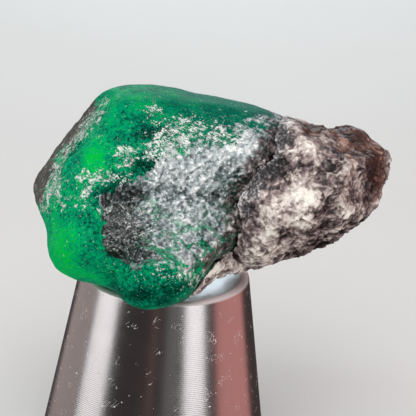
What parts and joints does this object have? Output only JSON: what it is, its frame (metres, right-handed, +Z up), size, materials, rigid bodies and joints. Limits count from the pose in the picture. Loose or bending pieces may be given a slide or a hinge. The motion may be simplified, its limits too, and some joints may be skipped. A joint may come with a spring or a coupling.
{
  "type": "emerald in matrix",
  "caption": "Rough green emerald crystal, partly coated in grey mica and grown in a lump of pale schist matrix, resting on a tapered turned-metal display stand.",
  "frame": {"origin": "centre of the stand's flat foot", "axes": "+Z up the stand's axis, -Y towards the viewer of the stone's best face, +X to that viewer's right, towards the matrix end"},
  "size_m": [0.0179, 0.013, 0.0194],
  "materials": {
    "emerald": "vitreous, cloudy green, with a grey sparkling mica coat on its front",
    "matrix": "rough broken quartz and mica schist, cream to brown",
    "stand": "turned metal with fine tool lines round it and a polished rim"
  },
  "bodies": {
    "root": {"emerald": "emerald", "matrix": "matrix", "stand": "stand"}
  },
  "joints": []
}
